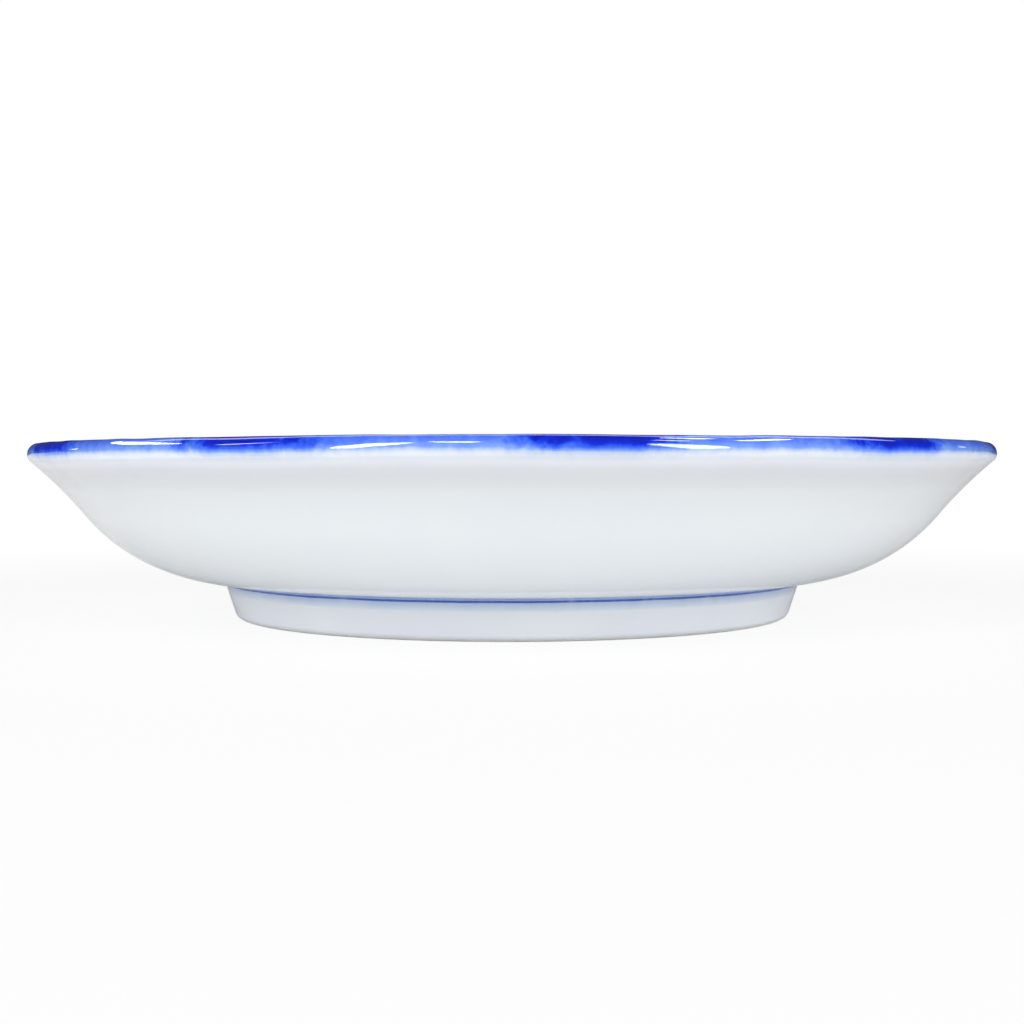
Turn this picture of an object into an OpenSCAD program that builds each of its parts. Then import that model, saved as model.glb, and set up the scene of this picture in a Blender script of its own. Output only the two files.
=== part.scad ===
// Soy sauce dish: a small round porcelain dish on a low foot ring, with a flared wall,
// a blue band over the lip and a blue line in the neck above the foot.
// The origin is the centre of the foot's resting plane, and +Z is the turning axis, pointing up.
// Every piece is turned round that axis, and lengths are in millimetres.

/* [Rim and wall] */
// Diameter across the rim
rim_d = 95; // [84:0.5:120]
// Height from the table to the top of the lip
dish_h = 17.2; // [15:0.1:24]
// Thickness of the rounded lip, with its glaze
lip_t = 2; // [1.4:0.1:3]
// Slope of the outside of the wall just under the lip, in degrees
lip_slope = 40.8; // [34:0.2:46]
// Steepest slope of the wall, where the belly turns into the flare, in degrees
wall_slope = 51.2; // [48:0.2:60]
// Length of the flared stretch of the wall, from the belly to the lip's round
flare_l = 7.1; // [4:0.1:9]

/* [Foot ring] */
// Diameter of the foot ring at the table, before its edge is rounded
foot_d = 55.7; // [46:0.1:60]
// Height of the lowest part of the belly above the table
foot_h = 3.8; // [3.2:0.1:5.2]
// Lean of the foot's outer side, narrower at the table, in degrees
foot_taper = 18; // [0:1:24]
// Width of the bare flat face that the dish rests on
rest_w = 1.6; // [0.8:0.1:4]
// Rounding of the foot ring's edges
foot_edge_r = 0.9; // [0.5:0.1:1.2]
// Fillet in the neck, between the foot ring and the belly
neck_r = 0.9; // [0.5:0.1:1.4]
// Lean of the foot's inner side, wider at the table, in degrees
recess_taper = 8; // [0:1:20]
// Fillet round the base, inside the foot ring
recess_r = 1.2; // [0.6:0.1:1.6]

/* [Floor] */
// Height of the base above the table, inside the foot ring
recess_h = 3; // [2.4:0.1:5]
// Thickness of the base in the middle, with its glaze on both sides
base_t = 3.3; // [2.4:0.1:4]
// Slope of the floor where it turns up into the wall, in degrees
floor_slope = 4; // [1:0.5:5]

/* [Glaze] */
// Thickness of the glaze
glaze_t = 0.25; // [0.15:0.05:0.4]
// Place on the lip's round where the blue band starts outside, in degrees from straight down
band_from = 78; // [60:1:120]
// Width of the blue band inside, from the end of the lip's round
band_in = 1.6; // [0.4:0.1:3]
// Part of the foot's round edges that is wiped bare, in degrees from straight down
wipe_angle = 40; // [20:1:60]

/* [Hidden] */

// Facets round the axis when the dish is drawn
turn_facets = 180;
// Greatest distance between a drawn arc and its true curve
arc_error = 0.003;

biscuit_colour = [0.90, 0.89, 0.86];
clear_colour = [0.92, 0.94, 0.96];
cobalt_colour = [0.15, 0.26, 0.80];
line_colour = [0.22, 0.33, 0.64];

// Direction in the section, turned by an angle from straight down towards the rim
function dir(a) = [sin(a), -cos(a)];

// Points along an arc from one direction to another. A negative radius curves the other way.
function arc(centre, radius, from, to) =
    let (step = 2 * acos(1 - arc_error / abs(radius)))
    let (steps = max(2, ceil(abs(to - from) / step)))
    [for (i = [0:steps]) centre + radius * dir(from + (to - from) * i / steps)];

// Stretches of outline joined end to start, without repeating the points where they meet
function joined(stretches) = [
    each stretches[0],
    for (k = [1:1:len(stretches) - 1]) for (i = [1:1:len(stretches[k]) - 1]) stretches[k][i]
];
function reversed(points) = [for (i = [len(points) - 1:-1:0]) points[i]];

// Outside of the wall, worked down from the lip. The belly's radius takes it down to foot_h.
lip_r = lip_t / 2;
lip_c = [rim_d / 2 - lip_r, dish_h - lip_r];
flare_r = flare_l / (wall_slope - lip_slope) * 180 / PI;
flare_c = lip_c + (lip_r + flare_r) * dir(lip_slope);
wall_turn = flare_c - flare_r * dir(wall_slope);
belly_r = (wall_turn[1] - foot_h) / (1 - cos(wall_slope));
belly_c = wall_turn - belly_r * dir(wall_slope);

// Foot ring's outer side. The neck's fillet touches that side and the belly, or the flat under it.
side_angle = 90 - foot_taper;
side_up = [sin(foot_taper), cos(foot_taper)];
edge_c = [foot_d / 2 - foot_edge_r * (1 - sin(foot_taper)) / cos(foot_taper), foot_edge_r];
neck_line = [foot_d / 2, 0] + neck_r * dir(side_angle);
neck_flat = neck_line + side_up * (foot_h - neck_r - neck_line[1]) / side_up[1];
neck_is_flat = neck_flat[0] <= belly_c[0];
to_belly = neck_line - belly_c;
neck_rise = -to_belly * side_up - sqrt(
    pow(to_belly * side_up, 2) - to_belly * to_belly + pow(belly_r + neck_r, 2)
);
neck_c = neck_is_flat ? neck_flat : neck_line + neck_rise * side_up;
neck_angle = neck_is_flat ? 0 : asin((neck_c[0] - belly_c[0]) / (belly_r + neck_r));
neck_mid = (side_angle + neck_angle) / 2;

// Foot ring's inner side and the base
recess_angle = 90 - recess_taper;
recess_mid = recess_angle / 2;
inner_edge_c = [edge_c[0] - rest_w, foot_edge_r];
recess_c_z = recess_h - recess_r;
recess_c = [
    inner_edge_c[0] - tan(recess_taper) * (recess_c_z - foot_edge_r)
        - (foot_edge_r + recess_r) / cos(recess_taper),
    recess_c_z
];

// Inside of the wall: parallel to the flare, then an arc down to a floor that is barely dished
floor_z = recess_h + base_t;
inner_flare_r = flare_r + lip_t;
band_slope = lip_slope + band_in / inner_flare_r * 180 / PI;
inner_turn = flare_c - inner_flare_r * dir(wall_slope);
floor_rise = tan(floor_slope / 2);
well_r = (inner_turn[1] - floor_z - floor_rise * inner_turn[0])
    / (cos(floor_slope) - cos(wall_slope) - floor_rise * (sin(wall_slope) - sin(floor_slope)));
well_c = inner_turn - well_r * dir(wall_slope);
floor_r = (well_c[0] + well_r * sin(floor_slope)) / sin(floor_slope);
floor_c = [0, floor_z + floor_r];

// Stretches of the dish's section, at a depth under its finished surface.
// The outside runs from the table up to the lip.
function edge_bare(depth) = arc(edge_c, foot_edge_r - depth, 0, wipe_angle);
function edge_glazed(depth) = arc(edge_c, foot_edge_r - depth, wipe_angle, side_angle);
function neck_low(depth) = arc(neck_c, -(neck_r + depth), side_angle, neck_mid);
function neck_high(depth) = arc(neck_c, -(neck_r + depth), neck_mid, neck_angle);
function foot_side(depth) = [edge_c + (foot_edge_r - depth) * dir(side_angle), neck_low(depth)[0]];
function under_flat(depth) = [[neck_c[0], foot_h + depth], [belly_c[0], foot_h + depth]];
function belly(depth) = arc(belly_c, belly_r - depth, neck_angle, wall_slope);
function flare(depth) = arc(flare_c, -(flare_r + depth), wall_slope, lip_slope);
function lip_under(depth) = arc(lip_c, lip_r - depth, lip_slope, band_from);
function lip_over(depth) = arc(lip_c, lip_r - depth, band_from, 180 + lip_slope);

// The inside runs from the lip down to the middle of the floor.
function inner_band(depth) = arc(flare_c, -(inner_flare_r - depth), lip_slope, band_slope);
function inner_flare(depth) = arc(flare_c, -(inner_flare_r - depth), band_slope, wall_slope);
function well(depth) = arc(well_c, well_r + depth, wall_slope, floor_slope);
function well_floor(depth) = arc(floor_c, floor_r + depth, floor_slope, 0);

// The recess runs from the table up the foot ring's inner side to the middle of the base.
function inner_edge_bare(depth) = arc(inner_edge_c, foot_edge_r - depth, 0, -wipe_angle);
function inner_edge_glazed(depth) =
    arc(inner_edge_c, foot_edge_r - depth, -wipe_angle, -recess_angle);
function recess_low(depth) = arc(recess_c, -(recess_r + depth), -recess_angle, -recess_mid);
function recess_high(depth) = arc(recess_c, -(recess_r + depth), -recess_mid, 0);
function recess_side(depth) =
    [inner_edge_c + (foot_edge_r - depth) * dir(-recess_angle), recess_low(depth)[0]];
function base_under(depth) = [[recess_c[0], recess_h + depth], [0, recess_h + depth]];

// The areas of glaze between the blue band, the blue line and the bare foot
function outside_area(depth) = joined([
    if (neck_is_flat) under_flat(depth),
    belly(depth), flare(depth), lip_under(depth)
]);
function band_area(depth) = joined([lip_over(depth), inner_band(depth)]);
function inside_area(depth) = joined([inner_flare(depth), well(depth), well_floor(depth)]);
function foot_area(depth) = joined([edge_glazed(depth), foot_side(depth)]);
function line_area(depth) = joined([neck_low(depth), neck_high(depth)]);
function recess_area(depth) =
    joined([inner_edge_glazed(depth), recess_side(depth), recess_low(depth)]);
function base_area(depth) = joined([recess_high(depth), base_under(depth)]);
function underside_area(depth) = joined([recess_area(depth), base_area(depth)]);

// A solid of revolution from its section
module turned(section) {
    rotate_extrude($fn = turn_facets)
        polygon(section);
}

// A coat of glaze: the finished surface and the clay under it
module coat(surface, clay) {
    turned(concat(surface, reversed(clay)));
}

// Clay of the bowl. Its joint with the foot ring runs from the middle of the neck's fillet
// to the middle of the fillet inside the foot ring.
module bowl_body() {
    color(biscuit_colour)
        turned(concat(
            joined([
                neck_high(glaze_t), outside_area(glaze_t), band_area(glaze_t), inside_area(glaze_t)
            ]),
            reversed(base_area(glaze_t))
        ));
}

// Clay of the foot ring. Its bare resting face and edges are flush with the glaze round them.
module foot_ring() {
    color(biscuit_colour)
        turned(concat(
            edge_bare(0),
            joined([foot_area(glaze_t), neck_low(glaze_t)]),
            reversed(recess_area(glaze_t)),
            reversed(inner_edge_bare(0))
        ));
}

// Clear glaze on the floor and the inside of the wall
module inside_glaze() {
    color(clear_colour)
        coat(inside_area(0), inside_area(glaze_t));
}

// Clear glaze on the belly and the flare
module outside_glaze() {
    color(clear_colour)
        coat(outside_area(0), outside_area(glaze_t));
}

// Clear glaze on the foot ring's outer side
module foot_glaze() {
    color(clear_colour)
        coat(foot_area(0), foot_area(glaze_t));
}

// Clear glaze on the base and the foot ring's inner side
module base_glaze() {
    color(clear_colour)
        coat(underside_area(0), underside_area(glaze_t));
}

// Blue glaze over the lip
module rim_band() {
    color(cobalt_colour)
        coat(band_area(0), band_area(glaze_t));
}

// Blue line in the neck's fillet
module foot_line() {
    color(line_colour)
        coat(line_area(0), line_area(glaze_t));
}

bowl_body();
foot_ring();
inside_glaze();
outside_glaze();
foot_glaze();
base_glaze();
rim_band();
foot_line();
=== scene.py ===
"""A small round porcelain soy sauce dish, glazed, with a cobalt rim and a cobalt line above its foot.

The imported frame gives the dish's place and its outer size. Every piece is drawn as a half section and
turned round the dish's axis, then gets the slight unevenness of hand-finished ware and its glaze.
"""

import logging
import math
from dataclasses import dataclass, field
from enum import Enum
from functools import cached_property

import bmesh
import bpy
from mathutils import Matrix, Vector, noise


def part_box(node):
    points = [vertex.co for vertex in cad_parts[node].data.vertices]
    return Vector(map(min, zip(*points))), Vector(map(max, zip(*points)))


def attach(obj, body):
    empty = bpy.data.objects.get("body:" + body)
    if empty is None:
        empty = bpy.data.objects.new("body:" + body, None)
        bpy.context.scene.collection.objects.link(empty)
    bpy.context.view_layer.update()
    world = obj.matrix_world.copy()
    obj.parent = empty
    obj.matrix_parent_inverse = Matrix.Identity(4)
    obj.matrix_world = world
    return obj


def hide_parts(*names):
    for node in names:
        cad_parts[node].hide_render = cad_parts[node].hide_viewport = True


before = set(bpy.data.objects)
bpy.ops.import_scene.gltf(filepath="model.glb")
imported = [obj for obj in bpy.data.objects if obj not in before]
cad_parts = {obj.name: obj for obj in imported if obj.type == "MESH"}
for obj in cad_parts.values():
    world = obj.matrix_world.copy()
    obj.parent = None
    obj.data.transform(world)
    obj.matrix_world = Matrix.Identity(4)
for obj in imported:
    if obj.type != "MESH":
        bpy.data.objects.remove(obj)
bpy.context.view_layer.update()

LOG = logging.getLogger("soy_dish")
MM = 0.001
IN_MM = 1.0 / MM
BODY = "root"
IMAGE_WIDTH = 1024.0
SAME_PLACE = 1e-4 * MM
# White of the foot's glaze, which the line above it tints
BLUISH = (0.765, 0.785, 0.835)
# Places of a Mix node's numbers, its colours and the mixed colour among its sockets
MIX_NUMBERS = (2, 3)
MIX_COLOURS = (6, 7)
MIXED_COLOUR = 2

Point = tuple[float, float]
Colour = tuple[float, float, float]
Shares = tuple[float, float, float]
Stops = tuple[tuple[float, Colour], ...]
Feed = bpy.types.NodeSocket | float | Colour


def step_from(start: Point, reach: float, angle: float) -> Point:
    """Find the point at a distance from another one in the section.

    Args:
        start: Radius and height to start from.
        reach: Distance to go, in metres.
        angle: Direction, in radians from straight down towards the rim.

    Returns:
        Radius and height of the point.
    """
    return (start[0] + reach * math.sin(angle), start[1] - reach * math.cos(angle))


def ease(value: float, low: float, high: float) -> float:
    """Ease a value from 0 to 1 between two limits.

    Args:
        value: The value to place between the limits.
        low: Where the result leaves 0.
        high: Where the result reaches 1.

    Returns:
        A smooth share between 0 and 1.
    """
    share = min(1.0, max(0.0, (value - low) / (high - low)))
    return share * share * (3.0 - 2.0 * share)


class Slot(Enum):
    """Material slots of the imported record."""

    BISCUIT = "biscuit"
    CLEAR = "clear_glaze"
    FOOT = "foot_glaze"
    RIM = "rim_blue"
    LINE = "line_blue"


class Side(Enum):
    """Side of the wall that a stretch of the section lies on, as the sign of its depth."""

    OUTSIDE = -1.0
    INSIDE = 1.0


class Grain(Enum):
    """How finely a stretch is drawn: longest angle in radians and longest step in metres."""

    SHOWN = (math.radians(2.0), 1.2 * MM)
    HIDDEN = (math.radians(8.0), 5.0 * MM)


class Reach(Enum):
    """What a lamp does: whether it lights surfaces, and whether it shows in the glaze."""

    BOTH = (True, True)
    SHADE = (True, False)
    SHINE = (False, True)


@dataclass(frozen=True)
class Arc:
    """A round stretch of the section. A negative radius is a hollow stretch."""

    centre: Point
    radius: float
    start: float
    end: float
    side: Side = Side.OUTSIDE

    def at(self, angle: float, depth: float) -> Point:
        """Find a point of the stretch.

        Args:
            angle: Direction from the centre.
            depth: Distance under the finished surface.

        Returns:
            Radius and height of the point.
        """
        return step_from(self.centre, self.radius + self.side.value * depth, angle)

    def steps(self, grain: Grain) -> int:
        """Count the straight steps that the stretch is drawn in.

        Args:
            grain: How finely it is drawn.

        Returns:
            Number of steps, one or more.
        """
        widest, longest = grain.value
        turn = abs(self.end - self.start)
        return max(1, math.ceil(turn / widest), math.ceil(turn * abs(self.radius) / longest))


class SectionPen:
    """Draws a half section in the plane of X and Z, one stretch after another."""

    def __init__(self) -> None:
        """Start with an empty mesh."""
        self.mesh = bmesh.new()
        self.first: bmesh.types.BMVert | None = None
        self.tip: bmesh.types.BMVert | None = None

    def line(self, point: Point) -> None:
        """Go straight to a point, or start there.

        Args:
            point: Radius and height to go to.
        """
        place = Vector((point[0], 0.0, point[1]))
        if self.tip is None:
            self.first = self.tip = self.mesh.verts.new(place)
        elif (self.tip.co - place).length > SAME_PLACE:
            grown = bmesh.ops.extrude_vert_indiv(self.mesh, verts=[self.tip])
            self.tip = grown["verts"][0]
            self.tip.co = place

    def arc(self, arc: Arc, depth: float, grain: Grain, back: bool = False) -> None:
        """Follow a round stretch, from the pen's last point straight to its beginning.

        Args:
            arc: The stretch to follow.
            depth: Distance under the finished surface.
            grain: How finely it is drawn.
            back: True to follow it from its end to its start.
        """
        start, end = (arc.end, arc.start) if back else (arc.start, arc.end)
        self.line(arc.at(start, depth))
        swept = bmesh.ops.spin(
            self.mesh, geom=[self.tip], cent=(arc.centre[0], 0.0, arc.centre[1]),
            axis=(0.0, 1.0, 0.0), angle=start - end, steps=arc.steps(grain), use_merge=False,
        )
        self.tip = next(item for item in swept["geom_last"] if isinstance(item, bmesh.types.BMVert))

    def close(self) -> None:
        """Join the last point to the first one."""
        bmesh.ops.contextual_create(self.mesh, geom=[self.tip, self.first])


@dataclass(frozen=True)
class Area:
    """Stretches that follow each other on one surface, with straight runs where they don't meet."""

    arcs: tuple[Arc, ...]
    flat_to_axis: bool = False

    def trace(self, pen: SectionPen, depth: float, grain: Grain, back: bool = False) -> None:
        """Draw the area from its first stretch to its last, or the other way.

        Args:
            pen: The pen to draw with.
            depth: Distance under the finished surface.
            grain: How finely it is drawn.
            back: True to draw it from its last stretch to its first.
        """
        if back and self.flat_to_axis:
            pen.line((0.0, self.arcs[-1].at(self.arcs[-1].end, depth)[1]))
        for arc in reversed(self.arcs) if back else self.arcs:
            pen.arc(arc, depth, grain, back)
        if self.flat_to_axis and not back:
            pen.line((0.0, pen.tip.co.z))


@dataclass(frozen=True)
class DishSection:
    """Half section of the dish, made of arcs that touch each other."""

    rim_r: float
    dish_h: float
    lip_t: float = 2.0 * MM
    lip_slope: float = math.radians(40.8)
    wall_slope: float = math.radians(51.2)
    flare_l: float = 7.1 * MM
    foot_r: float = 27.85 * MM
    foot_h: float = 3.8 * MM
    foot_taper: float = math.radians(18.0)
    rest_w: float = 1.6 * MM
    foot_edge_r: float = 0.9 * MM
    neck_r: float = 0.9 * MM
    recess_taper: float = math.radians(8.0)
    recess_r: float = 1.2 * MM
    recess_h: float = 3.0 * MM
    base_t: float = 3.3 * MM
    floor_slope: float = math.radians(4.0)
    glaze_t: float = 0.25 * MM
    band_from: float = math.radians(78.0)
    band_in: float = 1.6 * MM
    wipe_angle: float = math.radians(40.0)

    @cached_property
    def lip_r(self) -> float:
        """Radius of the lip's round."""
        return self.lip_t / 2.0

    @cached_property
    def lip_c(self) -> Point:
        """Centre of the lip's round."""
        return (self.rim_r - self.lip_r, self.dish_h - self.lip_r)

    @cached_property
    def flare_r(self) -> float:
        """Radius of the flare outside."""
        return self.flare_l / (self.wall_slope - self.lip_slope)

    @cached_property
    def flare_c(self) -> Point:
        """Centre of the flare, in the air outside the wall."""
        return step_from(self.lip_c, self.lip_r + self.flare_r, self.lip_slope)

    @cached_property
    def belly(self) -> Arc:
        """Belly, from the neck up to the flare."""
        turn = step_from(self.flare_c, -self.flare_r, self.wall_slope)
        radius = (turn[1] - self.foot_h) / (1.0 - math.cos(self.wall_slope))
        centre = step_from(turn, -radius, self.wall_slope)
        return Arc(centre, radius, self.neck_angle(centre, radius), self.wall_slope)

    @cached_property
    def side_angle(self) -> float:
        """Direction that the foot's outer side faces."""
        return math.pi / 2.0 - self.foot_taper

    @cached_property
    def edge_c(self) -> Point:
        """Centre of the foot's outer edge."""
        inset = self.foot_edge_r * (1.0 - math.sin(self.foot_taper)) / math.cos(self.foot_taper)
        return (self.foot_r - inset, self.foot_edge_r)

    def neck_centre(self, belly_c: Point, belly_r: float) -> Point:
        """Find the centre of the fillet that touches the foot's side and the belly.

        Args:
            belly_c: Centre of the belly.
            belly_r: Radius of the belly.

        Returns:
            Radius and height of the fillet's centre.
        """
        foot = step_from((self.foot_r, 0.0), self.neck_r, self.side_angle)
        up = (math.sin(self.foot_taper), math.cos(self.foot_taper))
        away = (foot[0] - belly_c[0], foot[1] - belly_c[1])
        along = away[0] * up[0] + away[1] * up[1]
        gap = away[0] ** 2 + away[1] ** 2 - (belly_r + self.neck_r) ** 2
        rise = -along - math.sqrt(along ** 2 - gap)
        return (foot[0] + rise * up[0], foot[1] + rise * up[1])

    def neck_angle(self, belly_c: Point, belly_r: float) -> float:
        """Find the slope at which the belly runs into the neck.

        Args:
            belly_c: Centre of the belly.
            belly_r: Radius of the belly.

        Returns:
            Slope in radians.
        """
        out = self.neck_centre(belly_c, belly_r)[0] - belly_c[0]
        return math.asin(out / (belly_r + self.neck_r))

    @cached_property
    def neck_c(self) -> Point:
        """Centre of the neck's fillet."""
        return self.neck_centre(self.belly.centre, self.belly.radius)

    @cached_property
    def neck_low(self) -> Arc:
        """Lower half of the neck's fillet, up from the foot's side."""
        return Arc(self.neck_c, -self.neck_r, self.side_angle, self.neck_mid)

    @cached_property
    def neck_high(self) -> Arc:
        """Upper half of the neck's fillet, up to the belly."""
        return Arc(self.neck_c, -self.neck_r, self.neck_mid, self.belly.start)

    @cached_property
    def neck_mid(self) -> float:
        """Direction of the middle of the neck's fillet."""
        return (self.side_angle + self.belly.start) / 2.0

    @cached_property
    def flare(self) -> Arc:
        """Hollow flare of the wall, up to the lip."""
        return Arc(self.flare_c, -self.flare_r, self.wall_slope, self.lip_slope)

    @cached_property
    def edge_bare(self) -> Arc:
        """Wiped part of the foot's outer edge."""
        return Arc(self.edge_c, self.foot_edge_r, 0.0, self.wipe_angle)

    @cached_property
    def inner_edge_c(self) -> Point:
        """Centre of the foot's inner edge."""
        return (self.edge_c[0] - self.rest_w, self.foot_edge_r)

    @cached_property
    def inner_edge_bare(self) -> Arc:
        """Wiped part of the foot's inner edge."""
        return Arc(self.inner_edge_c, self.foot_edge_r, 0.0, -self.wipe_angle)

    @cached_property
    def recess_angle(self) -> float:
        """Direction that the foot's inner side faces, towards the axis."""
        return math.pi / 2.0 - self.recess_taper

    @cached_property
    def recess_c(self) -> Point:
        """Centre of the fillet round the base."""
        height = self.recess_h - self.recess_r
        lean = math.tan(self.recess_taper) * (height - self.foot_edge_r)
        reach = (self.foot_edge_r + self.recess_r) / math.cos(self.recess_taper)
        return (self.inner_edge_c[0] - lean - reach, height)

    @cached_property
    def well(self) -> Arc:
        """Curve between the floor and the wall inside."""
        turn = step_from(self.flare_c, -(self.flare_r + self.lip_t), self.wall_slope)
        floor_z = self.recess_h + self.base_t
        rise = math.tan(self.floor_slope / 2.0)
        level = math.cos(self.floor_slope) - math.cos(self.wall_slope)
        across = math.sin(self.wall_slope) - math.sin(self.floor_slope)
        radius = (turn[1] - floor_z - rise * turn[0]) / (level - rise * across)
        centre = step_from(turn, -radius, self.wall_slope)
        return Arc(centre, radius, self.wall_slope, self.floor_slope, Side.INSIDE)

    @cached_property
    def floor(self) -> Arc:
        """Floor of the well, barely dished, in to the axis."""
        reach = self.well.at(self.floor_slope, 0.0)[0]
        radius = reach / math.sin(self.floor_slope)
        centre = (0.0, self.recess_h + self.base_t + radius)
        return Arc(centre, radius, self.floor_slope, 0.0, Side.INSIDE)

    @cached_property
    def outside_area(self) -> Area:
        """Belly, flare and the underside of the lip."""
        lip = Arc(self.lip_c, self.lip_r, self.lip_slope, self.band_from)
        return Area((self.belly, self.flare, lip))

    @cached_property
    def band_area(self) -> Area:
        """Top of the lip and the first stretch inside it."""
        lip = Arc(self.lip_c, self.lip_r, self.band_from, math.pi + self.lip_slope)
        inner = Arc(
            self.flare_c, -(self.flare_r + self.lip_t), self.lip_slope, self.band_slope, Side.INSIDE
        )
        return Area((lip, inner))

    @cached_property
    def band_slope(self) -> float:
        """Slope at which the blue band ends inside."""
        return self.lip_slope + self.band_in / (self.flare_r + self.lip_t)

    @cached_property
    def inside_area(self) -> Area:
        """Inside of the wall, well and floor."""
        wall = Arc(
            self.flare_c, -(self.flare_r + self.lip_t), self.band_slope, self.wall_slope, Side.INSIDE
        )
        return Area((wall, self.well, self.floor))

    @cached_property
    def foot_area(self) -> Area:
        """Foot's outer edge above the wiped part, and the side up to the neck."""
        edge = Arc(self.edge_c, self.foot_edge_r, self.wipe_angle, self.side_angle)
        side_end = Arc(self.neck_c, -self.neck_r, self.side_angle, self.side_angle)
        return Area((edge, side_end))

    @cached_property
    def line_area(self) -> Area:
        """Neck's fillet."""
        return Area((self.neck_low, self.neck_high))

    @cached_property
    def recess_area(self) -> Area:
        """Foot's inner edge and side, to the middle of the fillet round the base."""
        edge = Arc(self.inner_edge_c, self.foot_edge_r, -self.wipe_angle, -self.recess_angle)
        low = Arc(self.recess_c, -self.recess_r, -self.recess_angle, -self.recess_angle / 2.0)
        return Area((edge, low))

    @cached_property
    def base_area(self) -> Area:
        """Rest of the fillet and the flat base."""
        high = Arc(self.recess_c, -self.recess_r, -self.recess_angle / 2.0, 0.0)
        return Area((high,), flat_to_axis=True)

    @cached_property
    def underside_area(self) -> Area:
        """All that is glazed under the base."""
        return Area(self.recess_area.arcs + self.base_area.arcs, flat_to_axis=True)


@dataclass(frozen=True)
class Unevenness:
    """How the lip leaves a true round. It only sinks and draws in, so the dish keeps its size."""

    lip_c: Point
    sink: float = 0.08 * MM
    draw: float = 0.04 * MM
    dimple: float = 0.04 * MM
    broad_waves: float = 9.0
    broad_share: float = 0.6
    short_waves: float = 17.0
    sink_shifts: Point = (39.52, 9.45)
    draw_shifts: Point = (11.9, 4.7)
    dimple_waves: float = 11.0
    dimple_shift: float = 20.0
    dimple_turn: float = 1.3
    wave_gain: float = 0.8
    fades_from: float = 1.3 * MM
    fades_to: float = 6.0 * MM

    def wave(self, around: Vector, waves: float, shift: float) -> float:
        """Read a slow wave at a place round the dish.

        Args:
            around: Direction from the axis, of length 1.
            waves: How many bumps fit in one radius.
            shift: Which of many waves to read.

        Returns:
            A value from 0 to 1.
        """
        spot = Vector((around.x * waves, around.y * waves, shift))
        return min(1.0, max(0.0, 0.5 + self.wave_gain * noise.noise(spot)))

    def swell(self, around: Vector, shifts: Point) -> float:
        """Read a broad and a short wave together.

        Args:
            around: Direction from the axis, of length 1.
            shifts: Which broad wave and which short wave to read.

        Returns:
            A value from 0 to 1.
        """
        broad = self.wave(around, self.broad_waves, shifts[0])
        short = self.wave(around, self.short_waves, shifts[1])
        return self.broad_share * broad + (1.0 - self.broad_share) * short

    def moved(self, place: Vector) -> Vector:
        """Move a point of the turned shape as the hand left it.

        Args:
            place: Point on the true shape.

        Returns:
            The same point on the uneven shape.
        """
        flat = Vector((place.x, place.y, 0.0))
        out, up = flat.length - self.lip_c[0], place.z - self.lip_c[1]
        share = 1.0 - ease(math.hypot(out, up), self.fades_from, self.fades_to)
        if share == 0.0:
            return place
        around = flat.normalized()
        turn = math.atan2(up, out)
        shift = self.dimple_shift + self.dimple_turn * turn
        dimple = self.dimple * self.wave(around, self.dimple_waves, shift)
        inward = self.draw * self.swell(around, self.draw_shifts) + dimple * math.cos(turn)
        down = self.sink * self.swell(around, self.sink_shifts) + dimple * math.sin(turn)
        return place - (around * inward + Vector((0.0, 0.0, down))) * share


@dataclass(frozen=True)
class Label:
    """Name of a piece, the node it stands for and its material slot."""

    name: str
    node: str
    slot: Slot


@dataclass(frozen=True)
class Wheel:
    """Turns drawn sections into closed pieces."""

    hand: Unevenness
    wedges: int = 8
    wedge_facets: int = 45
    crease: float = math.radians(32.0)
    merge: float = 0.5e-3 * MM

    def turn(self, pen: SectionPen, label: Label, material: bpy.types.Material) -> bpy.types.Object:
        """Turn a section round the axis and dress the piece.

        Args:
            pen: The pen that drew the section.
            label: Name, node and slot of the piece.
            material: The finish to put on it.

        Returns:
            The finished object.
        """
        clay = pen.mesh
        wedge = 2.0 * math.pi / self.wedges
        around = {"cent": (0.0, 0.0, 0.0), "axis": (0.0, 0.0, 1.0)}
        drawn = clay.verts[:] + clay.edges[:]
        bmesh.ops.spin(clay, geom=drawn, angle=wedge, steps=self.wedge_facets, **around)
        first = clay.verts[:] + clay.edges[:] + clay.faces[:]
        copies = self.wedges - 1
        bmesh.ops.spin(clay, geom=first, angle=wedge * copies, steps=copies, use_duplicate=True, **around)
        bmesh.ops.remove_doubles(clay, verts=clay.verts[:], dist=self.merge)
        bmesh.ops.recalc_face_normals(clay, faces=clay.faces[:])
        for face in clay.faces:
            face.smooth = True
        for edge in clay.edges:
            edge.smooth = edge.calc_face_angle(0.0) < self.crease
        for vert in clay.verts:
            vert.co = self.hand.moved(vert.co)
        mesh = bpy.data.meshes.new(label.name)
        clay.to_mesh(mesh)
        clay.free()
        mesh.materials.append(material)
        piece = bpy.data.objects.new(label.name, mesh)
        bpy.context.scene.collection.objects.link(piece)
        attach(piece, BODY)
        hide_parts(label.node)
        return piece

    def coat(
        self, area: Area, thickness: float, label: Label, finish: bpy.types.Material
    ) -> bpy.types.Object:
        """Turn a coat of glaze.

        Args:
            area: The surface that it covers.
            thickness: Depth of the clay under it.
            label: Name, node and slot of the piece.
            finish: Its material.

        Returns:
            The piece.
        """
        pen = SectionPen()
        area.trace(pen, thickness, Grain.HIDDEN, back=True)
        area.trace(pen, 0.0, Grain.SHOWN)
        if pen.tip.co.x > self.merge:
            pen.close()
        return self.turn(pen, label, finish)


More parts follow.
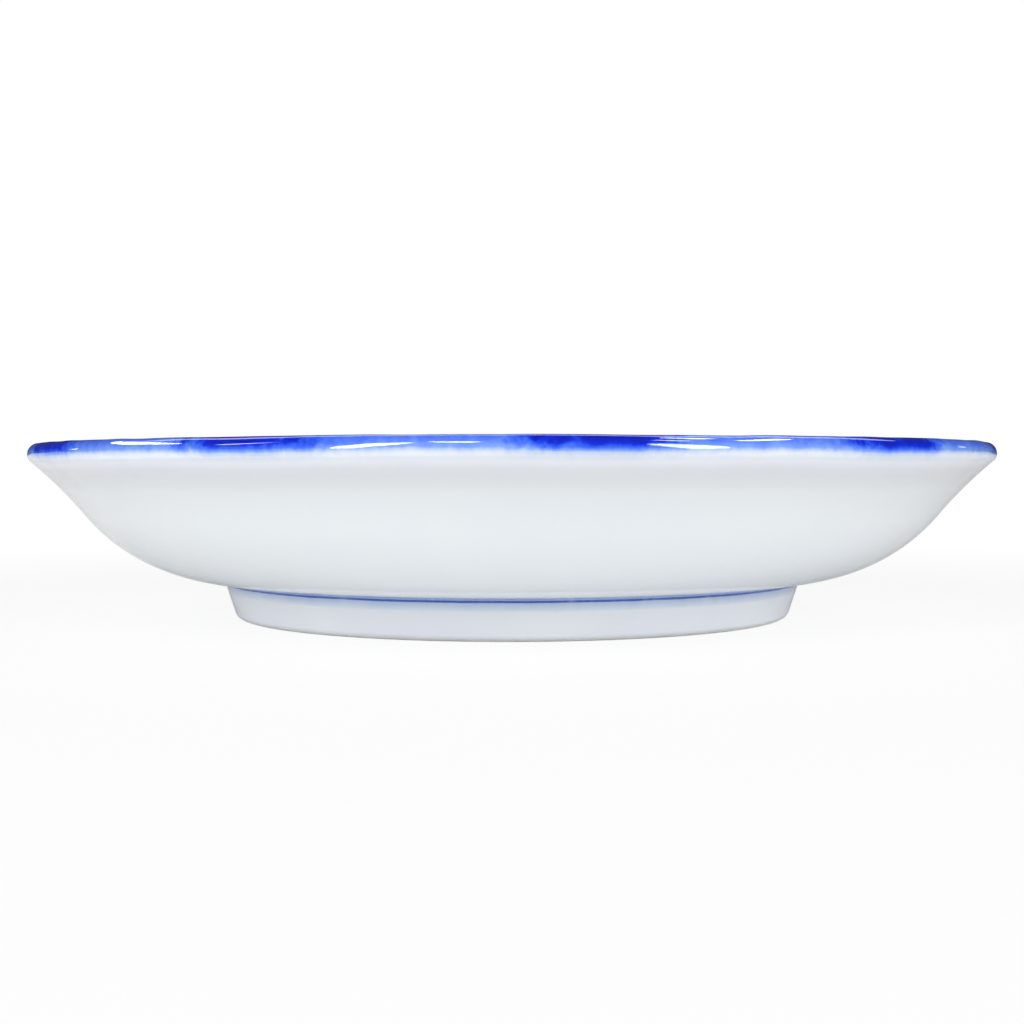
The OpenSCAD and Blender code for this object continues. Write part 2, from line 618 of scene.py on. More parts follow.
class Graph:
    """Adds shader nodes to one tree and joins them."""

    def __init__(self, tree: bpy.types.NodeTree) -> None:
        """Keep the tree that the nodes go into."""
        self.tree = tree

    def node(self, kind: str, **settings: object) -> bpy.types.Node:
        """Add a node.

        Args:
            kind: Blender's name of the node type.
            settings: Properties to set on it.

        Returns:
            The new node.
        """
        made = self.tree.nodes.new(kind)
        for name, value in settings.items():
            setattr(made, name, value)
        return made

    def feed(self, socket: bpy.types.NodeSocket, value: Feed) -> None:
        """Link a socket, or set its value.

        Args:
            socket: The input to feed.
            value: Another node's output, a number or a colour.
        """
        if isinstance(value, bpy.types.NodeSocket):
            self.tree.links.new(value, socket)
        elif socket.type == "RGBA":
            socket.default_value = (*value, 1.0)
        else:
            socket.default_value = value

    def math(self, operation: str, *values: Feed, clamp: bool = False) -> bpy.types.NodeSocket:
        """Add a Math node.

        Args:
            operation: Blender's name of the operation.
            values: Its inputs, in order.
            clamp: True to hold the result between 0 and 1.

        Returns:
            The result.
        """
        made = self.node("ShaderNodeMath", operation=operation, use_clamp=clamp)
        for socket, value in zip(made.inputs, values):
            self.feed(socket, value)
        return made.outputs[0]

    def vector(self, operation: str, *values: Feed) -> bpy.types.Node:
        """Add a Vector Math node.

        Args:
            operation: Blender's name of the operation.
            values: Its vector inputs, in order.

        Returns:
            The node, which may put out a vector or a value.
        """
        made = self.node("ShaderNodeVectorMath", operation=operation)
        for socket, value in zip(made.inputs, values):
            self.feed(socket, value)
        return made

    def noise(self, place: Feed, scale: float, detail: float = 2.0) -> bpy.types.NodeSocket:
        """Add a Noise Texture.

        Args:
            place: Coordinates to read it at.
            scale: Bumps per unit of the coordinates.
            detail: Number of finer layers.

        Returns:
            The noise, mostly between 0.25 and 0.75.
        """
        made = self.node("ShaderNodeTexNoise")
        self.feed(made.inputs["Vector"], place)
        self.feed(made.inputs["Scale"], scale)
        self.feed(made.inputs["Detail"], detail)
        return made.outputs["Fac"]

    def rise(
        self, value: Feed, low: Feed, high: Feed, bottom: float = 0.0, top: float = 1.0
    ) -> bpy.types.NodeSocket:
        """Ease from one value to another between two limits.

        Args:
            value: The value to place between the limits.
            low: Where the result leaves the bottom.
            high: Where the result reaches the top.
            bottom: Result below the limits.
            top: Result above the limits.

        Returns:
            The eased value.
        """
        made = self.node("ShaderNodeMapRange", interpolation_type="SMOOTHSTEP")
        names = ("Value", "From Min", "From Max", "To Min", "To Max")
        for name, given in zip(names, (value, low, high, bottom, top)):
            self.feed(made.inputs[name], given)
        return made.outputs["Result"]

    def share(self, value: Feed, low: Feed, high: Feed) -> bpy.types.NodeSocket:
        """Find how far a value lies from one limit to another.

        Args:
            value: The value to place between the limits.
            low: Limit where the share is 0.
            high: Limit where the share is 1.

        Returns:
            A share between 0 and 1.
        """
        made = self.node("ShaderNodeMapRange")
        for name, given in zip(("Value", "From Min", "From Max"), (value, low, high)):
            self.feed(made.inputs[name], given)
        return made.outputs["Result"]

    def weighed(self, first: Feed, second: Feed, shares: Shares) -> bpy.types.NodeSocket:
        """Add two values together, each by its share.

        Args:
            first: The first value.
            second: The second value.
            shares: How much of each value, and what is added to them.

        Returns:
            The sum.
        """
        of_first, of_second, lift = shares
        lifted = self.math("MULTIPLY_ADD", second, of_second, lift)
        return self.math("MULTIPLY_ADD", first, of_first, lifted)

    def blend(self, share: Feed, first: Feed, second: Feed) -> bpy.types.NodeSocket:
        """Mix two colours.

        Args:
            share: How much of the second colour.
            first: Colour at a share of 0.
            second: Colour at a share of 1.

        Returns:
            The mixed colour.
        """
        made = self.node("ShaderNodeMix", data_type="RGBA")
        self.feed(made.inputs[0], share)
        for place, colour in zip(MIX_COLOURS, (first, second)):
            self.feed(made.inputs[place], colour)
        return made.outputs[MIXED_COLOUR]

    def profile(self, share: Feed, stops: tuple[tuple[float, float], ...]) -> bpy.types.NodeSocket:
        """Read a value off a smooth profile.

        Args:
            share: Place along the profile, from 0 to 1.
            stops: Places and the values there.

        Returns:
            The value at that place.
        """
        return self.ramp(share, tuple((spot, (value, value, value)) for spot, value in stops))

    def ramp(self, share: Feed, stops: Stops) -> bpy.types.NodeSocket:
        """Read a colour off a row of colours.

        Args:
            share: Place along the row, from 0 to 1.
            stops: Places and the colours there.

        Returns:
            The colour at that place.
        """
        made = self.node("ShaderNodeValToRGB")
        row = made.color_ramp.elements
        for spot, _ in stops[len(row):]:
            row.new(spot)
        for element, (spot, colour) in zip(row, stops):
            element.position = spot
            element.color = (*colour, 1.0)
        self.feed(made.inputs[0], share)
        return made.outputs[0]

    def place(self) -> tuple[bpy.types.NodeSocket, bpy.types.NodeSocket, bpy.types.NodeSocket]:
        """Read where a point lies on the dish.

        Returns:
            Its position in millimetres, its height in millimetres and its direction from the axis.
        """
        spot = self.node("ShaderNodeTexCoord").outputs["Object"]
        scaled = self.vector("SCALE", spot)
        scaled.inputs["Scale"].default_value = IN_MM
        split = self.node("ShaderNodeSeparateXYZ")
        self.feed(split.inputs[0], scaled.outputs[0])
        flat = self.vector("MULTIPLY", spot, (1.0, 1.0, 0.0))
        around = self.vector("NORMALIZE", flat.outputs[0])
        return scaled.outputs[0], split.outputs["Z"], around.outputs[0]

    def streaks(self, around: Feed, height: Feed, weave: Shares) -> bpy.types.NodeSocket:
        """Add noise that is drawn out up and down the wall.

        Args:
            around: Direction from the axis.
            height: Height in millimetres.
            weave: Streaks in one radius, their changes per millimetre of height and the finer layers.

        Returns:
            The noise, mostly between 0.25 and 0.75.
        """
        cells, run, detail = weave
        turned = self.vector("SCALE", around)
        turned.inputs["Scale"].default_value = cells
        lifted = self.node("ShaderNodeCombineXYZ")
        self.feed(lifted.inputs["Z"], self.math("MULTIPLY", height, run))
        joined = self.vector("ADD", turned.outputs[0], lifted.outputs[0])
        return self.noise(joined.outputs[0], 1.0, detail)


class Effect:
    """A shader node group that several finishes share."""

    def __init__(self, name: str, inputs: tuple[str, ...], outputs: tuple[str, ...]) -> None:
        """Make the group and its sockets.

        Args:
            name: Name of the group.
            inputs: Names of its numbers.
            outputs: Names of its masks and heights.
        """
        self.tree = bpy.data.node_groups.new(name, "ShaderNodeTree")
        for label in inputs:
            self.tree.interface.new_socket(label, in_out="INPUT", socket_type="NodeSocketFloat")
        for label in outputs:
            self.tree.interface.new_socket(label, in_out="OUTPUT", socket_type="NodeSocketFloat")
        self.graph = Graph(self.tree)
        self.given = self.graph.node("NodeGroupInput").outputs
        self.result = self.graph.node("NodeGroupOutput").inputs

    def put_in(self, graph: Graph, **values: Feed) -> bpy.types.NodeOutputs:
        """Place the group in a material.

        Args:
            graph: The material's graph.
            values: The group's inputs by name.

        Returns:
            The group's outputs.
        """
        made = graph.node("ShaderNodeGroup", node_tree=self.tree)
        for name, value in values.items():
            graph.feed(made.inputs[name.capitalize()], value)
        return made.outputs


class BrushedRim(Effect):
    """Cobalt brushed over the lip in short strokes.

    Cobalt goes from none at 0 to the densest at 1. Level is the height on the flare and the lip, as a
    share of the way from Foot to Crest. Heights are in millimetres.
    """

    fall = (
        (0.56, 0.0), (0.61, 0.04), (0.65, 0.075), (0.68, 0.10), (0.70, 0.145),
        (0.731, 0.215), (0.746, 0.31), (0.76, 0.42), (0.784, 0.57), (0.805, 0.71),
        (0.844, 0.83), (0.865, 0.90), (0.888, 0.95), (0.92, 1.0),
    )
    strokes = 11.0
    first_stroke = math.radians(7.6)
    reach = 0.10
    grain_scale = 1.5
    mottle_scale = 0.5
    wander: Shares = (0.20, 0.10, -0.15)
    dabs: Shares = (1.5, 1.2, -1.40)
    swelling: Shares = (2.1, 0.7, -0.86)
    thin = 0.60
    mottled = 0.16

    def __init__(self) -> None:
        """Build the group."""
        super().__init__("brushed_rim", ("Foot", "Crest"), ("Cobalt", "Level"))
        g = self.graph
        spot, height, around = g.place()
        grain = g.noise(spot, self.grain_scale)
        mottle = g.noise(spot, self.mottle_scale, 3.0)
        stroke = self.stroke(around)
        lift = g.math("MULTIPLY_ADD", stroke, self.reach, g.weighed(mottle, grain, self.wander))
        level = g.share(g.math("ADD", height, lift), self.given["Foot"], self.given["Crest"])
        dabs = g.weighed(mottle, grain, self.dabs)
        loaded = g.math("MAXIMUM", g.math("MINIMUM", g.weighed(stroke, dabs, self.swelling), 1.0), 0.0)
        even = g.math("MULTIPLY_ADD", loaded, 1.0 - self.thin, self.thin)
        load = g.math("MULTIPLY_ADD", dabs, self.mottled, even)
        g.feed(self.result["Cobalt"], g.math("MULTIPLY", g.profile(level, self.fall), load))
        g.feed(self.result["Level"], level)

    def stroke(self, around: Feed) -> bpy.types.NodeSocket:
        """Find how near a place is to the middle of a brush stroke.

        Args:
            around: Direction from the axis.

        Returns:
            1 in the middle of a stroke and 0 half way to the next one.
        """
        g = self.graph
        split = g.node("ShaderNodeSeparateXYZ")
        g.feed(split.inputs[0], around)
        front = g.math("MULTIPLY", split.outputs["Y"], -1.0)
        turn = g.math("SUBTRACT", g.math("ARCTAN2", split.outputs["X"], front), self.first_stroke)
        wave = g.math("COSINE", g.math("MULTIPLY", turn, self.strokes))
        return g.math("MULTIPLY_ADD", wave, 0.5, 0.5)


class FootWash(Effect):
    """Amount of cobalt in the line above the foot, and in the blue that runs down from it.

    Low and High are the heights where the blue ends and where the line does, in millimetres.
    """

    fall = (
        (0.0, 0.0), (0.18, 0.12), (0.39, 0.20), (0.59, 0.28), (0.665, 0.38), (0.70, 1.0), (0.825, 1.0),
        (0.86, 0.50), (1.0, 0.42),
    )
    slow_weave: Shares = (9.0, 0.2, 1.0)
    fine_weave: Shares = (50.0, 0.3, 2.0)
    sway = 0.08
    uneven: Shares = (0.5, 0.4, 0.55)

    def __init__(self) -> None:
        """Build the group."""
        super().__init__("foot_wash", ("Low", "High"), ("Cobalt",))
        g = self.graph
        _, height, around = g.place()
        slow = g.streaks(around, height, self.slow_weave)
        fine = g.streaks(around, height, self.fine_weave)
        sway = g.math("MULTIPLY", g.math("SUBTRACT", slow, 0.5), self.sway)
        level = g.share(g.math("ADD", height, sway), self.given["Low"], self.given["High"])
        amount = g.profile(level, self.fall)
        uneven = g.weighed(slow, fine, self.uneven)
        g.feed(self.result["Cobalt"], g.math("MULTIPLY", amount, uneven, clamp=True))


class GlazeSkin(Effect):
    """Slow ripple, faint clouds and rare pinholes of a fired glaze."""

    wave_scale = 0.22
    cloud_scale = 0.075
    cloud_edges: Point = (0.35, 0.65)
    pinhole_scale = 0.16
    pinhole_edges: Point = (0.010, 0.022)

    def __init__(self) -> None:
        """Build the group."""
        super().__init__("glaze_skin", ("Ripple",), ("Height", "Cloud", "Pinhole"))
        g = self.graph
        spot, _, _ = g.place()
        waves = g.noise(spot, self.wave_scale)
        clouds = g.noise(spot, self.cloud_scale, 3.0)
        cells = g.node("ShaderNodeTexVoronoi", feature="F1")
        g.feed(cells.inputs["Vector"], spot)
        g.feed(cells.inputs["Scale"], self.pinhole_scale)
        pinholes = g.rise(cells.outputs["Distance"], *self.pinhole_edges, 1.0, 0.0)
        g.feed(self.result["Height"], g.math("MULTIPLY", waves, self.given["Ripple"]))
        g.feed(self.result["Cloud"], g.rise(clouds, *self.cloud_edges))
        g.feed(self.result["Pinhole"], pinholes)


@dataclass
class Effects:
    """The shared groups, built once."""

    rim: BrushedRim = field(default_factory=BrushedRim)
    foot: FootWash = field(default_factory=FootWash)
    skin: GlazeSkin = field(default_factory=GlazeSkin)


@dataclass(frozen=True)
class Glaze:
    """Glossy glaze over white porcelain, with whatever cobalt reaches it. Heights are in millimetres."""

    slot: Slot
    white: Colour = (0.80, 0.835, 0.855)
    cloud: Colour = (0.79, 0.825, 0.86)
    pinhole: Colour = (0.74, 0.765, 0.78)
    # Painted shade and painted light on the flare under the blue rim, set by height on both sides of the
    # wall: a darker grey band on the upper flare, then a brighter band, faintly tinted by cobalt, just
    # under the blue.
    flare_shade_and_halo: Stops = (
        (0.06, (0.80, 0.835, 0.855)), (0.22, (0.758, 0.79, 0.815)), (0.37, (0.747, 0.771, 0.803)),
        (0.47, (0.765, 0.79, 0.833)), (0.56, (0.852, 0.877, 0.94)), (0.62, (0.89, 0.925, 0.985)),
        (0.65, (0.87, 0.915, 0.985)),
    )
    rim_blues: Stops = (
        (0.05, (0.82, 0.87, 0.95)), (0.09, (0.74, 0.80, 0.92)), (0.14, (0.62, 0.71, 0.88)),
        (0.18, (0.54, 0.65, 0.86)), (0.25, (0.44, 0.56, 0.85)), (0.38, (0.235, 0.38, 0.86)),
        (0.45, (0.175, 0.32, 0.87)), (0.60, (0.082, 0.185, 0.88)), (0.72, (0.036, 0.125, 0.83)),
        (0.88, (0.002, 0.024, 0.66)), (1.0, (0.0, 0.012, 0.48)),
    )
    line_blues: Stops = (
        (0.10, (0.68, 0.75, 0.84)), (0.24, (0.52, 0.62, 0.78)), (0.45, (0.36, 0.50, 0.90)),
        (0.95, (0.02, 0.08, 0.42)),
    )
    roughness: float = 0.045
    ior: float = 1.60
    specular: float = 0.80
    ripple: float = 0.004
    rim_foot: float = 12.4
    rim_crest: float = 17.2
    shade_band_from: float = 0.2
    line_low: float = 2.6
    line_high: float = 3.85

    def make(self, effects: Effects) -> bpy.types.Material:
        """Build the material.

        Args:
            effects: The shared node groups.

        Returns:
            The material.
        """
        material = bpy.data.materials.new(self.slot.value)
        material.use_nodes = True
        graph = Graph(material.node_tree)
        shader = material.node_tree.nodes["Principled BSDF"]
        skin = effects.skin.put_in(graph, ripple=self.ripple)
        colour = graph.blend(skin["Cloud"], self.white, self.cloud)
        colour = graph.blend(skin["Pinhole"], colour, self.pinhole)
        if self.slot in (Slot.CLEAR, Slot.RIM):
            brushed = effects.rim.put_in(graph, foot=self.rim_foot, crest=self.rim_crest)
            # Lay the painted shade and painted light under the rim over the glaze's white, before the
            # cobalt.
            ground = graph.ramp(brushed["Level"], self.flare_shade_and_halo)
            colour = graph.blend(graph.rise(brushed["Level"], 0.0, self.shade_band_from), colour, ground)
            colour = self.over(graph, brushed["Cobalt"], colour, self.rim_blues)
        else:
            washed = effects.foot.put_in(graph, low=self.line_low, high=self.line_high)
            colour = self.over(graph, washed["Cobalt"], colour, self.line_blues)
        graph.feed(shader.inputs["Base Color"], colour)
        shader.inputs["Roughness"].default_value = self.roughness
        shader.inputs["IOR"].default_value = self.ior
        shader.inputs["Specular IOR Level"].default_value = self.specular
        bump = graph.node("ShaderNodeBump")
        bump.inputs["Distance"].default_value = MM
        graph.feed(bump.inputs["Height"], skin["Height"])
        graph.feed(shader.inputs["Normal"], bump.outputs["Normal"])
        return material

    def over(self, graph: Graph, amount: Feed, ground: Feed, blues: Stops) -> bpy.types.NodeSocket:
        """Lay cobalt over a colour.

        Args:
            graph: The material's graph.
            amount: How much cobalt there is.
            ground: Colour under the cobalt.
            blues: Amounts and the colours that they show, from the palest to the densest.

        Returns:
            The colour with the cobalt on it.
        """
        palest, _ = blues[0]
        return graph.blend(graph.rise(amount, 0.0, palest), ground, graph.ramp(amount, blues))


@dataclass(frozen=True)
class BareClay:
    """Bare fired porcelain, matt, fine-grained and a little scuffed where it stands."""

    slot: Slot = Slot.BISCUIT
    clean: Colour = (0.90, 0.89, 0.87)
    scuffed: Colour = (0.74, 0.73, 0.70)
    roughness: float = 0.75
    grain_scale: float = 6.0
    grain_depth: float = 0.02 * MM
    blotch_scale: float = 0.5
    blotch_edges: Point = (0.35, 0.65)
    scuff_height: float = 0.35
    wear: Point = (0.35, 0.7)

    def make(self) -> bpy.types.Material:
        """Build the material.

        Returns:
            The material.
        """
        material = bpy.data.materials.new(self.slot.value)
        material.use_nodes = True
        graph = Graph(material.node_tree)
        shader = material.node_tree.nodes["Principled BSDF"]
        spot, height, _ = graph.place()
        grain = graph.noise(spot, self.grain_scale, 3.0)
        blotch = graph.noise(spot, self.blotch_scale, 3.0)
        low = graph.rise(height, 0.0, self.scuff_height, 1.0, 0.0)
        scuff = graph.math("MULTIPLY", low, graph.rise(blotch, *self.blotch_edges))
        of_grain, of_scuff = self.wear
        scuff = graph.math("MULTIPLY", scuff, of_scuff)
        worn = graph.math("MULTIPLY_ADD", grain, of_grain, scuff, clamp=True)
        graph.feed(shader.inputs["Base Color"], graph.blend(worn, self.clean, self.scuffed))
        shader.inputs["Roughness"].default_value = self.roughness
        bump = graph.node("ShaderNodeBump")
        bump.inputs["Distance"].default_value = self.grain_depth
        graph.feed(bump.inputs["Height"], grain)
        graph.feed(shader.inputs["Normal"], bump.outputs["Normal"])
        return material


@dataclass
class ClayBody:
    """The fired clay: the bowl, and the foot ring with its bare resting face."""

    section: DishSection
    wheel: Wheel
    clay: bpy.types.Material

    def build(self) -> list[bpy.types.Object]:
        """Turn the bowl and the foot ring.

        Returns:
            The two pieces.
        """
        return [self.bowl(), self.foot_ring()]

    def bowl(self) -> bpy.types.Object:
        """Turn the bowl, which the glaze covers all over."""
        s = self.section
        pen = SectionPen()
        s.base_area.trace(pen, s.glaze_t, Grain.HIDDEN, back=True)
        Area((s.neck_high,)).trace(pen, s.glaze_t, Grain.HIDDEN)
        for area in (s.outside_area, s.band_area, s.inside_area):
            area.trace(pen, s.glaze_t, Grain.HIDDEN)
        return self.wheel.turn(pen, Label("bowl_clay", "bowl_body", Slot.BISCUIT), self.clay)

    def foot_ring(self) -> bpy.types.Object:
        """Turn the foot ring, bare where it stands."""
        s = self.section
        pen = SectionPen()
        pen.arc(s.edge_bare, 0.0, Grain.SHOWN)
        s.foot_area.trace(pen, s.glaze_t, Grain.HIDDEN)
        Area((s.neck_low,)).trace(pen, s.glaze_t, Grain.HIDDEN)
        s.recess_area.trace(pen, s.glaze_t, Grain.HIDDEN, back=True)
        pen.arc(s.inner_edge_bare, 0.0, Grain.SHOWN, back=True)
        pen.close()
        return self.wheel.turn(pen, Label("foot_ring_clay", "foot_ring", Slot.BISCUIT), self.clay)


@dataclass
class GlazeCoats:
    """The clear coats between the blue rim, the blue line and the bare foot."""

    section: DishSection
    wheel: Wheel
    clear: bpy.types.Material
    foot: bpy.types.Material

    def build(self) -> list[bpy.types.Object]:
        """Turn the four coats.

        Returns:
            The pieces, from the outside to the base.
        """
        s = self.section
        coats = (
            (s.outside_area, Label("outside_coat", "outside_glaze", Slot.CLEAR), self.clear),
            (s.inside_area, Label("inside_coat", "inside_glaze", Slot.CLEAR), self.clear),
            (s.foot_area, Label("foot_coat", "foot_glaze", Slot.FOOT), self.foot),
            (s.underside_area, Label("base_coat", "base_glaze", Slot.CLEAR), self.clear),
        )
        return [self.wheel.coat(area, s.glaze_t, label, finish) for area, label, finish in coats]


@dataclass
class CobaltRings:
    """The blue band over the lip and the blue line in the neck."""

    section: DishSection
    wheel: Wheel
    rim: bpy.types.Material
    line: bpy.types.Material

    def build(self) -> list[bpy.types.Object]:
        """Turn the band and the line.

        Returns:
            The two pieces.
        """
        s = self.section
        coats = (
            (s.band_area, Label("rim_cobalt", "rim_band", Slot.RIM), self.rim),
            (s.line_area, Label("neck_cobalt", "foot_line", Slot.LINE), self.line),
        )
        return [self.wheel.coat(area, s.glaze_t, label, finish) for area, label, finish in coats]


@dataclass(frozen=True)
class Lamp:
    """A soft lamp on an arm: where it hangs, seen from the dish, and how large and bright it is.

    Its angles and its size are in degrees, as the dish sees them.
    """

    name: str
    azimuth: float
    elevation: float
    width: float
    height: float
    radiance: float
    reach: Reach = Reach.BOTH
    roll: float = 0.0
    distance: float = 0.6

    def hang(self, target: Vector) -> bpy.types.Object:
        """Hang the lamp.

        Args:
            target: The point that it shines on.

        Returns:
            The lamp object.
        """
        data = bpy.data.lights.new(self.name, "AREA")
        data.shape = "ELLIPSE"
        data.size = 2.0 * self.distance * math.tan(math.radians(self.width) / 2.0)
        data.size_y = 2.0 * self.distance * math.tan(math.radians(self.height) / 2.0)
        area = math.pi / 4.0 * data.size * data.size_y
        data.energy = math.pi * area * self.radiance
        lamp = bpy.data.objects.new(self.name, data)
        turn = math.radians(self.azimuth)
        lift = math.radians(self.elevation)
        level = math.cos(lift)
        away = Vector((math.sin(turn) * level, -math.cos(turn) * level, math.sin(lift)))
        lamp.location = target + away * self.distance
        aim = away.to_track_quat("Z", "Y").to_matrix().to_4x4()
        lamp.rotation_euler = aim.to_euler()
        lamp.rotation_euler.rotate_axis("Z", math.radians(self.roll))
        lamp.visible_camera = False
        lamp.visible_diffuse, lamp.visible_glossy = self.reach.value
        bpy.context.scene.collection.objects.link(lamp)
        return lamp


@dataclass
class Studio:
    """Camera, floor, backdrop and lamps.

    What changes over the floor is given in millimetres from the axis. Each main lamp has a glint in the
    same place, which only shows in the glaze.
    """

    camera_back: float = 155.05 * MM
    camera_up: float = 14.33 * MM
    camera_pitch: float = math.radians(1.472)
    focal_px: float = 1507.8
    sensor: float = 36.0
    camera_roll: float = math.radians(0.08)
    clip_start: float = 5.0 * MM
    lamps_aim: float = 10.0 * MM
    floor_r: float = 3.0
    floor_sides: int = 128
    floor_drop: float = 0.02 * MM
    floor_white: Colour = (0.90, 0.90, 0.90)
    floor_bounce: Colour = (0.70, 0.70, 0.70)
    glow: float = 0.25
    glow_rise: Point = (30.0, 35.0)
    glow_fall: Point = (54.0, 62.0)
    shadow_kept: float = 0.12
    shadow_fade: Point = (70.0, 170.0)
    gloss_rise: Point = (36.0, 56.0)
    gloss_sides: Point = (-60.0, 60.0)
    gloss_left: float = 0.70
    gloss_right: float = 0.50
    ambient: float = 0.35
    front_gloss: float = 0.10
    rear_gloss: float = 0.05
    rear_turn: Point = (-0.3, 0.5)
    lamps: tuple[Lamp, ...] = (
        Lamp("left_lamp", -31.3, 20.0, 10.5, 47.0, 11.4, roll=-12.7),
        Lamp("right_lamp", 38.0, 12.0, 11.7, 39.4, 9.4, roll=12.0),
        Lamp("left_glint", -31.3, 20.0, 10.5, 47.0, 6.0, Reach.SHINE, roll=-12.7),
        Lamp("right_glint", 38.0, 12.0, 11.7, 39.4, 5.0, Reach.SHINE, roll=12.0),
        Lamp("left_fill", -74.0, 18.0, 36.0, 32.0, 3.3, Reach.SHADE),
        Lamp("right_fill", 74.0, 18.0, 36.0, 32.0, 3.8, Reach.SHADE),
        Lamp("left_tube", -108.0, 36.0, 37.0, 8.0, 11.0, Reach.SHINE),
        Lamp("left_spot", -70.5, 39.0, 1.5, 22.0, 18.0, Reach.SHINE),
        Lamp("front_tube", -14.0, 46.0, 8.0, 9.0, 11.0, Reach.SHINE),
        Lamp("high_tube", 54.0, 58.0, 4.0, 8.0, 11.0, Reach.SHINE),
        Lamp("right_tube", 95.0, 56.0, 20.0, 8.0, 11.0, Reach.SHINE),
        Lamp("top_tube", 116.0, 67.0, 12.0, 6.0, 11.0, Reach.SHINE),
        Lamp("left_dot", -113.0, 10.0, 1.5, 5.0, 6.0, Reach.SHINE),
        Lamp("right_dot", 122.5, 14.0, 3.0, 5.0, 2.5, Reach.SHINE),
        Lamp("rear_lamp", 180.0, 52.0, 80.0, 14.0, 2.2, Reach.SHINE),
    )

    def build(self) -> None:
        """Set up everything round the dish."""
        self.camera()
        self.floor()
        self.backdrop()
        for lamp in self.lamps:
            lamp.hang(Vector((0.0, 0.0, self.lamps_aim)))
        bpy.context.scene.view_settings.view_transform = "Standard"

    def camera(self) -> None:
        """Stand the camera almost level with the rim, in front of the dish."""
        data = bpy.data.cameras.new("camera")
        data.sensor_width = self.sensor
        data.lens = self.focal_px * self.sensor / IMAGE_WIDTH
        data.clip_start = self.clip_start
        camera = bpy.data.objects.new("camera", data)
        camera.location = (0.0, -self.camera_back, self.camera_up)
        camera.rotation_euler = (math.pi / 2.0 - self.camera_pitch, self.camera_roll, 0.0)
        bpy.context.scene.collection.objects.link(camera)
        bpy.context.scene.camera = camera

    def floor(self) -> None:
        """Lay a white floor that keeps a soft shadow near the dish."""
        made = bmesh.new()
        bmesh.ops.create_circle(made, cap_ends=True, segments=self.floor_sides, radius=self.floor_r)
        bmesh.ops.translate(made, verts=made.verts[:], vec=(0.0, 0.0, -self.floor_drop))
        mesh = bpy.data.meshes.new("floor")
        made.to_mesh(mesh)
        made.free()
        mesh.materials.append(self.floor_finish())
        floor = bpy.data.objects.new("floor", mesh)
        bpy.context.scene.collection.objects.link(floor)

    def floor_finish(self) -> bpy.types.Material:
        """Build the floor's material: white to the camera, and to other rays a pale floor with a glowing
        ring of painted light near the foot and a set glow in the glaze, brighter on the left.

        Returns:
            The material.
        """
        material = bpy.data.materials.new("floor")
        material.use_nodes = True
        material.cycles.emission_sampling = "NONE"
        graph = Graph(material.node_tree)
        material.node_tree.nodes.remove(material.node_tree.nodes["Principled BSDF"])
        spot, _, _ = graph.place()
        away = graph.vector("LENGTH", spot).outputs["Value"]
        path = graph.node("ShaderNodeLightPath").outputs
        seen = graph.math("MAXIMUM", path["Is Camera Ray"], path["Is Transmission Ray"])
        clear = graph.rise(away, *self.shadow_fade, 1.0 - self.shadow_kept, 1.0)
        gloss = graph.math("MULTIPLY", path["Is Glossy Ray"], graph.rise(away, *self.gloss_rise))
        white = graph.math("MAXIMUM", graph.math("MULTIPLY", seen, clear), gloss)
        matt = graph.node("ShaderNodeBsdfDiffuse")
        graph.feed(matt.inputs["Color"], graph.blend(seen, self.floor_bounce, self.floor_white))
        # The ring glows only to diffuse rays: painted light on the dish's belly and foot.
        ring = graph.rise(away, *self.glow_fall, self.glow, 0.0)
        ring = graph.math("MULTIPLY", graph.rise(away, *self.glow_rise), ring)
        glow = graph.node("ShaderNodeEmission")
        graph.feed(glow.inputs["Strength"], graph.math("MULTIPLY", path["Is Diffuse Ray"], ring))
        lit = graph.node("ShaderNodeAddShader")
        graph.feed(lit.inputs[0], matt.outputs[0])
        graph.feed(lit.inputs[1], glow.outputs[0])
        # Away from the dish the glaze sees the floor glow at set levels, brighter on the left: painted
        # light seen in reflection.
        split = graph.node("ShaderNodeSeparateXYZ")
        graph.feed(split.inputs[0], spot)
        level = graph.rise(split.outputs["X"], *self.gloss_sides, self.gloss_left, self.gloss_right)
        bright = graph.node("ShaderNodeEmission")
        graph.feed(bright.inputs["Strength"], graph.math("MAXIMUM", seen, level))
        mixed = graph.node("ShaderNodeMixShader")
        graph.feed(mixed.inputs[0], white)
        graph.feed(mixed.inputs[1], lit.outputs[0])
        graph.feed(mixed.inputs[2], bright.outputs[0])
        graph.feed(material.node_tree.nodes["Material Output"].inputs["Surface"], mixed.outputs[0])
        return material

    def backdrop(self) -> None:
        """Surround the dish with white that lights it softly and shows dim in its glaze."""
        world = bpy.data.worlds.new("backdrop")
        world.use_nodes = True
        world.cycles.sampling_method = "NONE"
        bpy.context.scene.world = world
        graph = Graph(world.node_tree)
        light = world.node_tree.nodes["Background"]
        path = graph.node("ShaderNodeLightPath").outputs
        split = graph.node("ShaderNodeSeparateXYZ")
        graph.feed(split.inputs[0], graph.node("ShaderNodeTexCoord").outputs["Generated"])
        behind = graph.rise(split.outputs["Y"], *self.rear_turn, self.front_gloss, self.rear_gloss)
        gloss = graph.math("MAXIMUM", path["Is Glossy Ray"], path["Is Transmission Ray"])
        lit = graph.node("ShaderNodeMix", data_type="FLOAT")
        graph.feed(lit.inputs[0], gloss)
        for place, level in zip(MIX_NUMBERS, (self.ambient, behind)):
            graph.feed(lit.inputs[place], level)
        graph.feed(light.inputs["Strength"], graph.math("MAXIMUM", path["Is Camera Ray"], lit.outputs[0]))
        light.inputs["Color"].default_value = (1.0, 1.0, 1.0, 1.0)


def dish_section() -> DishSection:
    """Take the dish's outer size from the frame.

    Returns:
        The section at that size.
    """
    low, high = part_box("rim_band")
    across = min(high.x - low.x, high.y - low.y)
    return DishSection(rim_r=across / 2.0, dish_h=high.z)


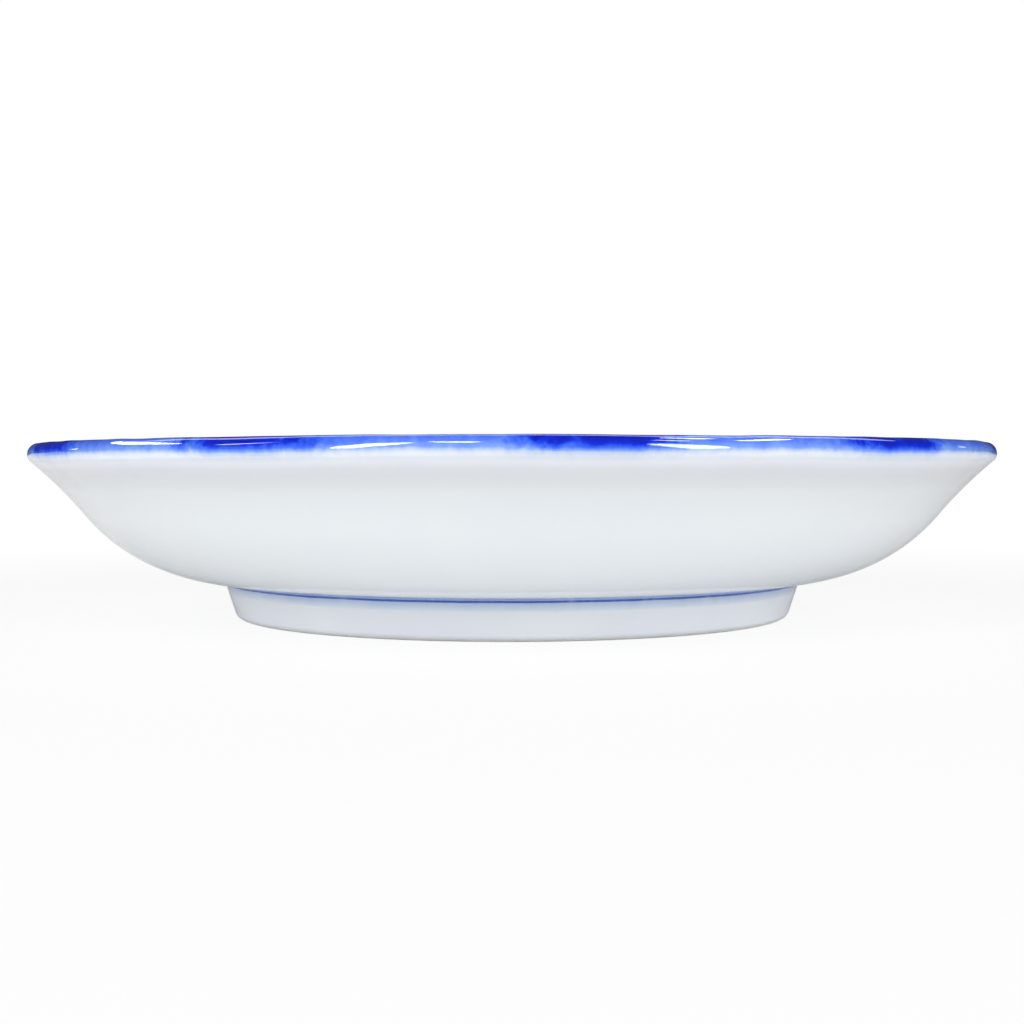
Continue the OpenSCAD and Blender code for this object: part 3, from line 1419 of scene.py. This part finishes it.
def main() -> None:
    """Build the studio and the dish."""
    logging.basicConfig(level=logging.INFO, format="%(message)s")
    Studio().build()
    effects = Effects()
    section = dish_section()
    wheel = Wheel(Unevenness(section.lip_c))
    clear = Glaze(Slot.CLEAR).make(effects)
    parts = (
        ClayBody(section, wheel, BareClay().make()),
        GlazeCoats(section, wheel, clear, Glaze(Slot.FOOT, white=BLUISH).make(effects)),
        CobaltRings(section, wheel, Glaze(Slot.RIM).make(effects), Glaze(Slot.LINE).make(effects)),
    )
    for part in parts:
        for piece in part.build():
            LOG.info("%s: %d faces", piece.name, len(piece.data.polygons))


if __name__ == "__main__":
    main()
